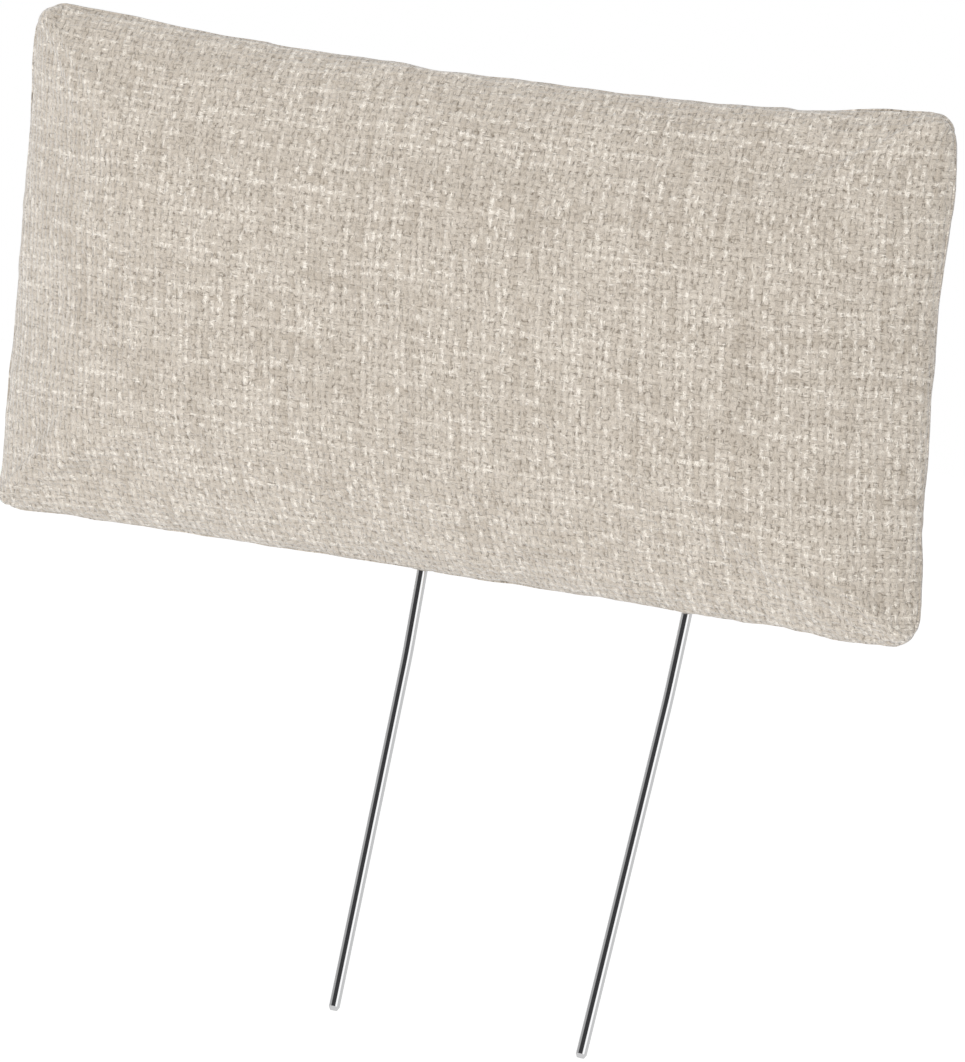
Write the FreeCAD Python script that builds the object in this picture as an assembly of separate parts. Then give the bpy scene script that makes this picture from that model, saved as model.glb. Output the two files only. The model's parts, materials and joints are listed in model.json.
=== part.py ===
import FreeCAD, Part
import math
import os

# Plug-in headrest: a padded fabric cushion on two bent steel rods.
# Millimetres, +Z up, the cushion faces -Y. The origin lies midway between the rods where they
# leave the cushion's lower edge, in the plane of the edge seam.
# Everything inside the cover is built round one plywood board that carries the rods.

V = FreeCAD.Vector

# Cushion, over the fabric
PAD_WIDTH = 720.0
PAD_HEIGHT = 380.0
PAD_OFFSET = -88.0        # cushion's middle from the rods' middle
FRONT_CROWN = 56.0        # front's height over the plane of the edge seam
BACK_CROWN = 52.0
CROWN_RUN_X = 210.0       # from an edge to the flat top of the crown
CROWN_RUN_Z = 165.0
CORNER_RADIUS = 18.0
TOP_PULL = 17.0           # how far the middle of each edge is drawn in, outwards if negative
BOTTOM_PULL = -3.0
END_PULL = 2.0
FORM_RINGS = 6
FABRIC = 1.6
WADDING = 17.0

# Rods
ROD_RADIUS = 4.0
ROD_SPACING = 206.0       # between axes at the cushion's edge
ROD_TOE_IN = 1.44         # degrees that each rod leans to the other
UPPER_LEAN = 17.5         # degrees forward of the cushion's plane, just under the cushion
LOWER_LEAN = 21.6         # degrees, the stretch that plugs into the furniture
UPPER_RUN = 60.0          # cushion's edge to the gentle bend
LOWER_RUN = 260.5         # gentle bend to the free end
GENTLE_RADIUS = 300.0
INNER_RADIUS = 60.0
HOOK_RADIUS = 14.0
HOOK_HEIGHT = 245.0
TIP_TAPER = 1.4           # how much the free end's radius narrows
TIP_LENGTH = 2.8          # length of that taper
TIP_ROUND = 0.4
TUNNEL_GAP = 0.3

# Board that carries the rods
BOARD_FRONT = 12.0        # its front face, which the rods lie on
BOARD_THICKNESS = 12.0
BOARD_WIDTH = 500.0
BOARD_BOTTOM = 56.0
BOARD_TOP = 295.0
BOARD_CORNER = 40.0

# Saddle clamps and their M5 fasteners
CLAMP_HEIGHTS = (90.0, 205.0)
CLAMP_LENGTH = 20.0
CLAMP_SHEET = 2.0
CLAMP_HALF_WIDTH = 22.0
SCREW_OFFSET = 14.0       # from the rod's axis
SCREW_RADIUS = 2.45
SCREW_HOLE = 2.75
SCREW_LENGTH = 16.0
HEAD_RADIUS = 4.6
HEAD_HEIGHT = 3.4
RECESS = (5.0, 1.2, 2.0)  # length and width of each slot of the cross, and its depth
WASHER_RADIUS = 5.0
WASHER_SHEET = 1.0
NUT_FLANGE_RADIUS = 8.5
NUT_FLANGE_SHEET = 1.2
NUT_BARREL_RADIUS = 3.3
NUT_BARREL_LENGTH = 9.0
NUT_BORE = 2.5
PRONG = (2.0, 0.8, 5.0)
PRONG_CIRCLE = 7.2
BAY_DEPTH = 11.5          # hollow in the front foam round the clamps
BAY_BOTTOM = 60.0
BAY_TOP = 260.0

# Zip across the lower back
ZIP_HEIGHT = 48.0         # over the cushion's lower edge
ZIP_LENGTH = 460.0
ZIP_SLOT = 7.0            # half the gap between the two fabric edges
TAPE_HALF_WIDTH = 13.0
TAPE_SHEET = 0.8
TAPE_FACE = -2.0          # tape's outer face under the fabric's outer face
TAPE_SPLIT = 0.2
TAPE_TAIL = 10.0
TOOTH_PITCH = 3.0
TOOTH_WIDTH = 1.3
TOOTH_REACH = 1.0         # past the zip's middle
TOOTH_ROOT = 1.2
TOOTH_BACK = 3.0
TOOTH_HEIGHT = 2.4
STOP_LENGTH = 4.0
STOP_HALF_WIDTH = 3.2
STOP_HEIGHT = 3.0

# Zip slider and pull
SLIDER_END_GAP = 12.0
SLIDER_HALF_LENGTH = 5.5
SLIDER_HALF_WIDTH = 4.6
SLIDER_CHANNEL = 3.4      # half the width of its channel
SLIDER_PLATE = (0.8, 2.0)  # underside and top of its plate, over the fabric's face
SLIDER_FOOT = -1.7
BAIL_REACH = 4.5
BAIL_POST = 1.4
BAIL_RADIUS = 0.7
BAIL_HEIGHT = 4.4
PULL_EYE = 0.76
PULL_BOSS = 1.9
PULL_HALF_WIDTH = 3.2
PULL_LENGTH = 26.0
PULL_SHEET = 1.4
PULL_SLOT = (2.6, 9.0)    # width and length of the window in the pull

# Blank care label, tucked inside the cover over the zip
LABEL_WIDTH = 45.0
LABEL_DROP = 30.0
LABEL_SHEET = 0.5
LABEL_OFFSET = 150.0
LABEL_DEPTH = 5.7         # under the fabric's face

SIDES = {"left": -1, "right": 1}
ROD_Y = BOARD_FRONT - ROD_RADIUS
BOARD_BACK = BOARD_FRONT + BOARD_THICKNESS
INNER_BEND = ROD_Y / math.tan(math.radians(UPPER_LEAN))
BIG = 1000.0


def box(low, high):
    """Block between two opposite corners."""
    size = V(*high) - V(*low)
    return Part.makeBox(size.x, size.y, size.z, V(*low))


def edges_of_length(shape, length):
    return [edge for edge in shape.Edges if abs(edge.Length - length) < 0.001]


def save(shape, node):
    shape.exportStep("parts/" + node + ".step")


# ---- the cushion's form --------------------------------------------------------------------

def ring(layer, turn, crown):
    """Closed outline of the form, `turn` radians round from the edge seam to the crown."""
    rise = math.sin(turn)
    run = 1 - math.cos(turn)
    half_x = PAD_WIDTH / 2 - layer - CROWN_RUN_X * run
    half_z = PAD_HEIGHT / 2 - layer - CROWN_RUN_Z * run
    radius = min(CORNER_RADIUS + 0.45 * CROWN_RUN_Z * run, 0.7 * half_z)
    slack = max(1 - rise, 0.1)
    y = math.copysign(abs(crown) - layer, crown) * rise

    def at(x, z):
        return V(PAD_OFFSET + x, y, PAD_HEIGHT / 2 + z)

    def corner(side, level):
        """The arc of one corner, from its upright edge to its level edge."""
        x = side * (half_x - radius)
        z = level * (half_z - radius)
        out = radius * math.sqrt(0.5)
        return at(x + side * radius, z), at(x + side * out, z + level * out), at(x, z + level * radius)

    low_right = corner(1, -1)
    top_right = corner(1, 1)
    top_left = corner(-1, 1)
    low_left = corner(-1, -1)
    arcs = [
        (low_left[2], at(0, -half_z + BOTTOM_PULL * slack), low_right[2]),
        low_right[::-1],
        (low_right[0], at(half_x - END_PULL * slack, 0), top_right[0]),
        top_right,
        (top_right[2], at(0, half_z - TOP_PULL * slack), top_left[2]),
        top_left[::-1],
        (top_left[0], at(-half_x + END_PULL * slack, 0), low_left[0]),
        low_left,
    ]
    return Part.Wire([Part.Arc(*arc).toShape() for arc in arcs])


def form(layer, crown):
    """Half of the cushion's form, `layer` under the fabric's face; crown is -Y for the front."""
    turns = [math.pi / 2 * step / FORM_RINGS for step in range(FORM_RINGS + 1)]
    return Part.makeLoft([ring(layer, turn, crown) for turn in turns], True, False)


# ---- rods ----------------------------------------------------------------------------------

def rounded_path(points, radii):
    """Straight runs joined by tangent arcs; radii belong to the inner points."""
    edges = []
    start = points[0]
    for before, at, after, radius in zip(points, points[1:], points[2:], radii):
        back = (before - at).normalize()
        on = (after - at).normalize()
        half = back.getAngle(on) / 2
        leg = radius / math.tan(half)
        middle = at + (back + on).normalize() * (radius / math.sin(half) - radius)
        edges.append(Part.LineSegment(start, at + back * leg).toShape())
        edges.append(Part.Arc(at + back * leg, middle, at + on * leg).toShape())
        start = at + on * leg
    edges.append(Part.LineSegment(start, points[-1]).toShape())
    return Part.Wire(edges)


def lean(length, degrees):
    """Step down a rod that leans forward by this angle."""
    angle = math.radians(degrees)
    return V(0, -length * math.sin(angle), -length * math.cos(angle))


def taper_tip(rod, radius, tip, inward):
    """Tapers a rod's free end and rounds its rim."""
    narrow = radius - TIP_TAPER
    reach = TIP_LENGTH + 1.0
    wide = narrow + TIP_TAPER * reach / TIP_LENGTH
    collar = Part.makeCylinder(2 * radius, reach, tip, inward)
    rod = rod.cut(collar.cut(Part.makeCone(narrow, wide, reach, tip, inward)))
    rims = [edge for edge in rod.Edges if len(edge.Vertexes) == 1]
    return rod.makeFillet(TIP_ROUND, [rim for rim in rims if (rim.CenterOfMass - tip).Length < 0.1])


def rod_shape(radius, tapered):
    """One rod in its own plane, from its free end to the hook that goes through the board."""
    bend = lean(UPPER_RUN, UPPER_LEAN)
    tip = bend + lean(LOWER_RUN, LOWER_LEAN)
    points = [tip, bend, V(0, ROD_Y, INNER_BEND), V(0, ROD_Y, HOOK_HEIGHT), V(0, BOARD_BACK, HOOK_HEIGHT)]
    path = rounded_path(points, (GENTLE_RADIUS, INNER_RADIUS, HOOK_RADIUS))
    inward = (bend - tip).normalize()
    profile = Part.Wire([Part.makeCircle(radius, tip, inward)])
    rod = path.makePipeShell([profile], True, False)
    return taper_tip(rod, radius, tip, inward) if tapered else rod


def place(shape, side):
    """Puts a shape made for a rod at the origin in its place at the left or right."""
    placed = shape.copy()
    placed.rotate(V(0, 0, 0), V(0, 1, 0), side * ROD_TOE_IN)
    placed.translate(V(side * ROD_SPACING / 2, 0, 0))
    return placed


# ---- board, clamps and fasteners -----------------------------------------------------------

def drum(radius, front, back, x, z):
    """Round bar along Y."""
    return Part.makeCylinder(radius, back - front, V(x, front, z), V(0, 1, 0))


def clamp_shape(height):
    """Saddle of sheet steel over the rod, with an ear screwed down on each side."""
    low = height - CLAMP_LENGTH / 2
    high = height + CLAMP_LENGTH / 2
    outer = ROD_RADIUS + CLAMP_SHEET
    axis = V(0, ROD_Y, low)
    saddle = Part.makeCylinder(outer, CLAMP_LENGTH, axis)
    saddle = saddle.fuse(box((-outer, ROD_Y, low), (outer, BOARD_FRONT, high)))
    ears = box((-CLAMP_HALF_WIDTH, BOARD_FRONT - CLAMP_SHEET, low), (CLAMP_HALF_WIDTH, BOARD_FRONT, high))
    saddle = saddle.fuse(ears).removeSplitter()
    saddle = saddle.common(box((-BIG, -BIG, low), (BIG, BOARD_FRONT, high)))
    saddle = saddle.cut(Part.makeCylinder(ROD_RADIUS, CLAMP_LENGTH, axis))
    saddle = saddle.cut(box((-ROD_RADIUS, ROD_Y, low), (ROD_RADIUS, BOARD_FRONT, high)))
    for x in (-SCREW_OFFSET, SCREW_OFFSET):
        saddle = saddle.cut(drum(SCREW_HOLE, ROD_Y, BOARD_BACK, x, height))
    return saddle


def screw_shape(x, z):
    """Pan-head screw with a cross recess, head to the front."""
    seat = BOARD_FRONT - CLAMP_SHEET - WASHER_SHEET
    face = seat - HEAD_HEIGHT
    screw = drum(HEAD_RADIUS, face, seat, x, z)
    screw = screw.makeFillet(1.2, [edge for edge in screw.Edges if abs(edge.CenterOfMass.y - face) < 0.01])
    screw = screw.fuse(drum(SCREW_RADIUS, seat, seat + SCREW_LENGTH, x, z))
    length, width, depth = RECESS
    for across, along in ((length, width), (width, length)):
        low = (x - across / 2, face - 1, z - along / 2)
        screw = screw.cut(box(low, (x + across / 2, face + depth, z + along / 2)))
    return screw


def washer_shape(x, z):
    back = BOARD_FRONT - CLAMP_SHEET
    washer = drum(WASHER_RADIUS, back - WASHER_SHEET, back, x, z)
    return washer.cut(drum(SCREW_HOLE, back - WASHER_SHEET, back, x, z))


def tee_nut_shape(x, z):
    """Tee nut driven into the board's back, with four prongs."""
    nut = drum(NUT_FLANGE_RADIUS, BOARD_BACK, BOARD_BACK + NUT_FLANGE_SHEET, x, z)
    nut = nut.fuse(drum(NUT_BARREL_RADIUS, BOARD_BACK - NUT_BARREL_LENGTH, BOARD_BACK, x, z))
    width, sheet, depth = PRONG
    low = (-width / 2, BOARD_BACK - depth, PRONG_CIRCLE - sheet / 2)
    prong = box(low, (width / 2, BOARD_BACK, PRONG_CIRCLE + sheet / 2))
    for quarter in range(4):
        turned = prong.copy()
        turned.rotate(V(0, 0, 0), V(0, 1, 0), 90 * quarter + 45)
        turned.translate(V(x, 0, z))
        nut = nut.fuse(turned)
    return nut.cut(drum(NUT_BORE, BOARD_FRONT, BOARD_BACK + 2 * NUT_FLANGE_SHEET, x, z))


def fastener_sets(make):
    """The same fastener at every clamp ear, as a list of placed solids."""
    spots = [(x, z) for z in CLAMP_HEIGHTS for x in (-SCREW_OFFSET, SCREW_OFFSET)]
    return [place(make(x, z), side) for side in SIDES.values() for x, z in spots]


def board_blank():
    """Plywood board with rounded corners, before it is drilled."""
    left = PAD_OFFSET - BOARD_WIDTH / 2
    board = box((left, BOARD_FRONT, BOARD_BOTTOM), (left + BOARD_WIDTH, BOARD_BACK, BOARD_TOP))
    return board.makeFillet(BOARD_CORNER, edges_of_length(board, BOARD_THICKNESS))


# ---- zip -----------------------------------------------------------------------------------

def zip_seat():
    """Where the zip's middle lies on the back, and how far its face looks down, in degrees."""
    turn = math.acos(1 - ZIP_HEIGHT / CROWN_RUN_Z)
    slope = BACK_CROWN * math.cos(turn) / (CROWN_RUN_Z * math.sin(turn))
    return V(PAD_OFFSET, BACK_CROWN * math.sin(turn), ZIP_HEIGHT), math.degrees(math.atan(slope))


def zip_place(shape):
    """From the zip's own axes (X along it, Y down the fabric, Z out of it) to the cushion."""
    seat, tilt = zip_seat()
    placed = shape.copy()
    placed.rotate(V(0, 0, 0), V(1, 0, 0), -(90 + tilt))
    placed.translate(seat)
    return placed


def tape_shape(way):
    """One of the two tapes; way is -1 for the upper one."""
    half = ZIP_LENGTH / 2 + TAPE_TAIL
    inner, outer = sorted((way * TAPE_SPLIT, way * TAPE_HALF_WIDTH))
    return box((-half, inner, TAPE_FACE - TAPE_SHEET), (half, outer, TAPE_FACE))


def teeth_shape(way):
    """One row of teeth on its cord, as one comb that meshes with the other row."""
    count = int(ZIP_LENGTH / TOOTH_PITCH) - 4
    first = -count * TOOTH_PITCH / 2
    outline = [(first, TOOTH_BACK), (first, TOOTH_ROOT)]
    for number in range(count):
        middle = first + (number + (0.25 if way < 0 else 0.75)) * TOOTH_PITCH
        low, high = middle - TOOTH_WIDTH / 2, middle + TOOTH_WIDTH / 2
        outline += [(low, TOOTH_ROOT), (low, -TOOTH_REACH), (high, -TOOTH_REACH), (high, TOOTH_ROOT)]
    outline += [(-first, TOOTH_ROOT), (-first, TOOTH_BACK)]
    corners = [V(x, way * y, TAPE_FACE) for x, y in outline]
    return Part.Face(Part.makePolygon(corners + corners[:1])).extrude(V(0, 0, TOOTH_HEIGHT))


def stop_shape(end):
    """Block clinched over both tapes at one end of the teeth."""
    low, high = sorted((end * ZIP_LENGTH / 2, end * (ZIP_LENGTH / 2 - STOP_LENGTH)))
    stop = box((low, -STOP_HALF_WIDTH, TAPE_FACE), (high, STOP_HALF_WIDTH, TAPE_FACE + STOP_HEIGHT))
    top = [edge for edge in stop.Edges if edge.CenterOfMass.z > TAPE_FACE + STOP_HEIGHT - 0.01]
    return stop.makeFillet(0.6, top)


def slider_shape():
    """Slider over the closed teeth, with the bail that holds the pull."""
    long = SLIDER_HALF_LENGTH
    wide = SLIDER_HALF_WIDTH
    under, top = SLIDER_PLATE
    slider = box((-long, -wide, SLIDER_FOOT), (long, wide, top))
    upright = edges_of_length(slider, top - SLIDER_FOOT)
    slider = slider.makeFillet(1.5, upright)
    slider = slider.cut(box((-long, -SLIDER_CHANNEL, SLIDER_FOOT), (long, SLIDER_CHANNEL, under)))
    for end in (-1, 1):
        x = end * BAIL_REACH
        low = (x - BAIL_POST / 2, -BAIL_POST / 2, top - 0.2)
        slider = slider.fuse(box(low, (x + BAIL_POST / 2, BAIL_POST / 2, BAIL_HEIGHT + BAIL_RADIUS)))
    bar = Part.makeCylinder(BAIL_RADIUS, 2 * BAIL_REACH, V(-BAIL_REACH, 0, BAIL_HEIGHT), V(1, 0, 0))
    return slider.fuse(bar).removeSplitter()


def pull_shape():
    """Pull that hangs from the bail, with a window near its free end."""
    half = PULL_HALF_WIDTH
    axis = V(-half, 0, BAIL_HEIGHT)
    sheet = PULL_SHEET / 2
    pull = box((-half, 0, BAIL_HEIGHT - sheet), (half, PULL_LENGTH, BAIL_HEIGHT + sheet))
    ends = [edge for edge in edges_of_length(pull, PULL_SHEET) if edge.CenterOfMass.y > PULL_BOSS]
    pull = pull.makeFillet(2.5, ends)
    pull = pull.fuse(Part.makeCylinder(PULL_BOSS, 2 * half, axis, V(1, 0, 0)))
    pull = pull.cut(Part.makeCylinder(PULL_EYE, 2 * half, axis, V(1, 0, 0)))
    width, length = PULL_SLOT
    start = PULL_LENGTH - length - 4
    pull = pull.cut(box((-width / 2, start, 0), (width / 2, start + length, 2 * BAIL_HEIGHT)))
    tilt = zip_seat()[1]
    pull.rotate(V(0, 0, BAIL_HEIGHT), V(1, 0, 0), tilt)
    return pull


def label_shape():
    """Label lying in the wadding, its lower edge at the upper tape."""
    low = (LABEL_OFFSET, -TAPE_HALF_WIDTH - LABEL_DROP, -LABEL_DEPTH - LABEL_SHEET)
    return zip_place(box(low, (LABEL_OFFSET + LABEL_WIDTH, -TAPE_HALF_WIDTH, -LABEL_DEPTH)))


# ---- build ---------------------------------------------------------------------------------

def zip_room():
    """Space that the tapes, teeth and slider take out of the fabric and the wadding."""
    half = ZIP_LENGTH / 2 + TAPE_TAIL
    tapes = box((-half, -TAPE_HALF_WIDTH, TAPE_FACE - TAPE_SHEET), (half, TAPE_HALF_WIDTH, TAPE_FACE))
    slot = box((-ZIP_LENGTH / 2, -ZIP_SLOT, TAPE_FACE), (ZIP_LENGTH / 2, ZIP_SLOT, BIG / 10))
    return [zip_place(tapes), zip_place(slot)]


def rod_tunnels():
    """Room for the rods through the foam, the wadding and the cover."""
    tunnel = rod_shape(ROD_RADIUS + TUNNEL_GAP, False)
    return [place(tunnel, side) for side in SIDES.values()]


def hardware_room():
    """Room in the filling for the board and for what is screwed to it."""
    half = CLAMP_HALF_WIDTH + 2
    bay = box((-half, BOARD_FRONT - BAY_DEPTH, BAY_BOTTOM), (half, BOARD_FRONT, BAY_TOP))
    flange_back = BOARD_BACK + NUT_FLANGE_SHEET
    flanges = fastener_sets(lambda x, z: drum(NUT_FLANGE_RADIUS, BOARD_BACK, flange_back, x, z))
    return [board_blank()] + [place(bay, side) for side in SIDES.values()] + flanges


def build_hardware():
    rods = {name: place(rod_shape(ROD_RADIUS, True), side) for name, side in SIDES.items()}
    tee_nuts = fastener_sets(tee_nut_shape)
    for name, side in SIDES.items():
        save(rods[name], "rod_" + name)
        for level, height in zip(("lower", "upper"), CLAMP_HEIGHTS):
            save(place(clamp_shape(height), side), "rod_clamp_" + level + "_" + name)
    holes = fastener_sets(lambda x, z: drum(SCREW_HOLE, BOARD_FRONT, BOARD_BACK, x, z))
    save(board_blank().cut(holes + tee_nuts + list(rods.values())), "rod_board")
    save(Part.makeCompound(fastener_sets(screw_shape)), "clamp_screws")
    save(Part.makeCompound(fastener_sets(washer_shape)), "clamp_washers")
    save(Part.makeCompound(tee_nuts), "tee_nuts")


def build_filling(tunnels):
    """Wadding under the cover and two blocks of foam that meet on the board's front face."""
    hardware = hardware_room()
    label = label_shape()
    cores = []
    for name, crown in (("front", -FRONT_CROWN), ("back", BACK_CROWN)):
        cores.append(form(FABRIC + WADDING, crown))
        rooms = [cores[-1], label] + tunnels + hardware + zip_room()
        save(form(FABRIC, crown).cut(rooms), "wadding_" + name)
    core = cores[0].fuse(cores[1])
    ahead = box((-BIG, -BIG, -BIG), (BIG, BOARD_FRONT, BIG))
    save(core.common(ahead).cut(tunnels + hardware), "foam_front")
    save(core.cut([ahead] + tunnels + hardware), "foam_back")
    save(label, "care_label")


def build_cover(tunnels):
    """Front panel, and a back panel in two parts that the zip joins."""
    front = form(0, -FRONT_CROWN).cut([form(FABRIC, -FRONT_CROWN)] + tunnels)
    back = form(0, BACK_CROWN).cut([form(FABRIC, BACK_CROWN)] + tunnels + zip_room())
    above = zip_place(box((-BIG, -BIG, -BIG), (BIG, 0, BIG)))
    save(front, "front_cover")
    save(back.common(above), "back_cover_upper")
    save(back.cut(above), "back_cover_lower")


def build_zip():
    for name, way in (("upper", -1), ("lower", 1)):
        save(zip_place(tape_shape(way)), "zip_tape_" + name)
        save(zip_place(teeth_shape(way)), "zip_teeth_" + name)
    save(Part.makeCompound([zip_place(stop_shape(end)) for end in (-1, 1)]), "zip_stops")
    closed = V(ZIP_LENGTH / 2 - SLIDER_END_GAP, 0, 0)
    for node, shape in (("zip_slider", slider_shape()), ("zip_pull", pull_shape())):
        placed = zip_place(shape)
        placed.translate(closed)
        save(placed, node)


def main():
    os.makedirs("parts", exist_ok=True)
    tunnels = rod_tunnels()
    build_hardware()
    build_filling(tunnels)
    build_cover(tunnels)
    build_zip()


main()
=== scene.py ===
import bpy
import json
import math
import numpy as np
from mathutils import Matrix, Vector, noise
from mathutils.kdtree import KDTree


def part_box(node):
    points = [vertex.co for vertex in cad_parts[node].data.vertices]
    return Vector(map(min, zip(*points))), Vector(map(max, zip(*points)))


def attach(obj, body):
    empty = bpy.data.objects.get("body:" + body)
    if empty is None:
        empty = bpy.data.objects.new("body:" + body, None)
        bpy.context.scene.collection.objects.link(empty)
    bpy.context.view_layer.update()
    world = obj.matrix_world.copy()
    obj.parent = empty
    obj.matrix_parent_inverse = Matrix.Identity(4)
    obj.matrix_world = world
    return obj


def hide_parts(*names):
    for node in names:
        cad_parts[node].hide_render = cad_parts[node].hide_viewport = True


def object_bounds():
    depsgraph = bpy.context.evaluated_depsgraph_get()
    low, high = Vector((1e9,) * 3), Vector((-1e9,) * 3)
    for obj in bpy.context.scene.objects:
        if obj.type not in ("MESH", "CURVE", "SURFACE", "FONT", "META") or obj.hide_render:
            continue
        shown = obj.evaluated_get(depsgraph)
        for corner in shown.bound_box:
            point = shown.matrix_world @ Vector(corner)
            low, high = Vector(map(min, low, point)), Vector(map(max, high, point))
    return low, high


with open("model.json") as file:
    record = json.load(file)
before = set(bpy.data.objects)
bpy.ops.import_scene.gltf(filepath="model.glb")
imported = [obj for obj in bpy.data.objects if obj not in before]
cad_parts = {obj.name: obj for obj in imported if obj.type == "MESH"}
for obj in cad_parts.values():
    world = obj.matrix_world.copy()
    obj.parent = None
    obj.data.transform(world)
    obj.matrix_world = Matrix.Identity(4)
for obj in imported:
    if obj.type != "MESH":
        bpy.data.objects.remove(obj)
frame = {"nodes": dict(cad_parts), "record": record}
CAD_BOUNDS = [list(corner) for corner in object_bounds()]

MM = 0.001

# ---- the cushion's form, in metres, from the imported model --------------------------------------

FRONT_LOW, FRONT_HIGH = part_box("front_cover")
PAD_X = (FRONT_LOW.x + FRONT_HIGH.x) / 2
PAD_Z = FRONT_HIGH.z / 2                  # the lower seam is at z = 0
HALF_X = (FRONT_HIGH.x - FRONT_LOW.x) / 2
HALF_Z = FRONT_HIGH.z / 2
FRONT_CROWN = 52 * MM                     # before the cover is blown up a little
BACK_CROWN = 48 * MM
FLAT_X = 0.42                             # share of each half that is hardly crowned
FLAT_Z = 0.13
FULLNESS = 3.0                            # how full the corners are
CORNER_PUFFS = (
    # s and t of the middle, reach in s and t, push to the right and up
    (1.00, 0.68, 0.20, 0.22, 4.2 * MM, 0.0 * MM),
    (0.87, 1.00, 0.10, 0.30, 0.0 * MM, 3.4 * MM),
    (-1.00, 1.00, 0.07, 0.14, 3.2 * MM, -3.0 * MM),
    (0.86, -1.00, 0.11, 0.30, 0.0 * MM, -2.8 * MM),
    (-0.76, -1.00, 0.12, 0.30, 0.0 * MM, 1.4 * MM),
)
CORNER_RADIUS = 22 * MM
TOP_PULL = 15.5 * MM                      # how far the middle of each edge is drawn in
BOTTOM_PULL = 2 * MM
END_PULL = 3 * MM
TOP_TILT = 5 * MM                         # the upper edge runs down to the right
TAPER = 0.0105                            # the lower edge is wider by twice this share
EDGE_WAVE = 1.8                           # in mm, how uneven the sewn edges are, over long stretches
EDGE_WAVE_SIZE = 60 * MM
EDGE_RIPPLE = 0.9                         # the same over short stretches
EDGE_RIPPLE_SIZE = 24 * MM
CLOTH = 1.3 * MM
WADDING = 5 * MM
UNDER_COVER = CLOTH + 0.4 * MM            # the wadding starts this far inside the cover
WADDING_INSET = 6                         # fine cells left out next to the seam
COLUMNS = 120                             # cells across each panel, and up it below and above the zip
ROWS_BELOW = 16
ROWS_ABOVE = 60
ZIP_ROW = 2 * ROWS_BELOW                  # the row along the zip once there are twice as many
EVEN_ACROSS = 0.5                         # how even the cells are; the rest crowds them to the seams
EVEN_BELOW = 0.6
EVEN_ABOVE = 0.55
ROD_EXIT = 103 * MM
HOLE_HALF_LENGTH = 9 * MM
HOLE_HALF_WIDTH = 4.8 * MM
HOLE_REACH = 7 * MM                       # how far up the panels the opening is felt

# How the sewn cover settles over its filling
SETTLE_FRAMES = 20
SETTLE_CAP = 6 * MM
PRESSURE = 4.0
SLACK = 0.05                              # extra cloth next to the seam
SLACK_WIDTH = 25 * MM
SLACK_SIZE = 40 * MM                      # size of the patches with more or less slack

# How the cover is worn in: undulations all over, puckers at the seams, and the crease of the seam
WAVE = 2.2 * MM
WAVE_SIZE = 90 * MM
RIPPLE = 0.7 * MM
RIPPLE_SIZE = 35 * MM
WAVES_START = 12 * MM                     # full size this far from the seam
PUCKER = 2.0 * MM
PUCKER_SIZE = 14 * MM
PUCKER_REACH = 18 * MM
PUCKERS_START = 5 * MM
SEAM_CREASE = 2.0 * MM
SEAM_CREASE_WIDTH = 2.3 * MM

# Stitches beside the zip
STITCH_PITCH = 5.0 * MM
STITCH_LENGTH = 4.3 * MM
STITCH_LIFT = 1.6 * MM
STITCH_PLACE = 11.5 * MM                  # from the zip's middle
STITCHES = 92
STITCH_RINGS = 7
THREAD_RADIUS = 0.5 * MM
THREAD_SIDES = 8

# The zip's plane
ZIP_TILT = math.radians(17.585)
ZIP_CENTRE = np.array([PAD_X, 36.67 * MM, 48 * MM])
ZIP_UP = np.array([0.0, math.sin(ZIP_TILT), math.cos(ZIP_TILT)])
ZIP_OUT = np.array([0.0, math.cos(ZIP_TILT), -math.sin(ZIP_TILT)])
ZIP_HALF_LENGTH = 230 * MM
ZIP_SLOT = 7 * MM
ZIP_SLOT_END = 3 * MM                     # the slot closes over this length either side of the zip's end
ZIP_FADE = 60 * MM                        # past the zip's ends the panel is free again
ZIP_FLAT = 12 * MM                        # flat as far as this above and below, and free further out
ZIP_FREE = 55 * MM
ZIP_STRAY = 60 * MM                       # the rows are straightened as far as this
SLOT_REACH = 45 * MM                      # the cloth is drawn back as far as this
SLOT_CREASE = 0.5 * MM                    # how far the edge rolls in at the zip, and past its ends
PLAIN_CREASE = 1.1 * MM
EDGE_CREASE_WIDTH = 1.6 * MM
ZIP_ROOM = 8 * MM                         # the wadding is pressed in this far behind the zip
ZIP_ROOM_FULL = 16 * MM
ZIP_ROOM_END = 40 * MM

# Woven fabric
WARP_PITCH = 5.2 * MM
WEFT_PITCH = 6.75 * MM
WARP_SKEW = 0.054                         # the cloth was cut a little off its grain
BACK_CUT = np.array([1.37, 0.83, 0.0])    # the back panel comes from another place in the cloth

# Camera, as seen from the front and right
VIEW_AZIMUTH = math.radians(23.15)
VIEW_ELEVATION = math.radians(9.95)
VIEW_ROLL = math.radians(4.44)
VIEW_DISTANCE = 3.81
VIEW_AIM = Vector((PAD_X + 30 * MM, 0, PAD_Z - 152 * MM))
LENS = 180.3

# Light
SKY_LIGHT = 0.76
KEY_POWER = 28
KEY_PLACE = (-0.9, -2.6, 1.9)
KEY_SIZE = (1.6, 1.6)
FLOOR_GLOW = 0.28
FLOOR_DROP = 0.9                          # the floor is this far below the rods
FLOOR_HALF = 8.0

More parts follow.
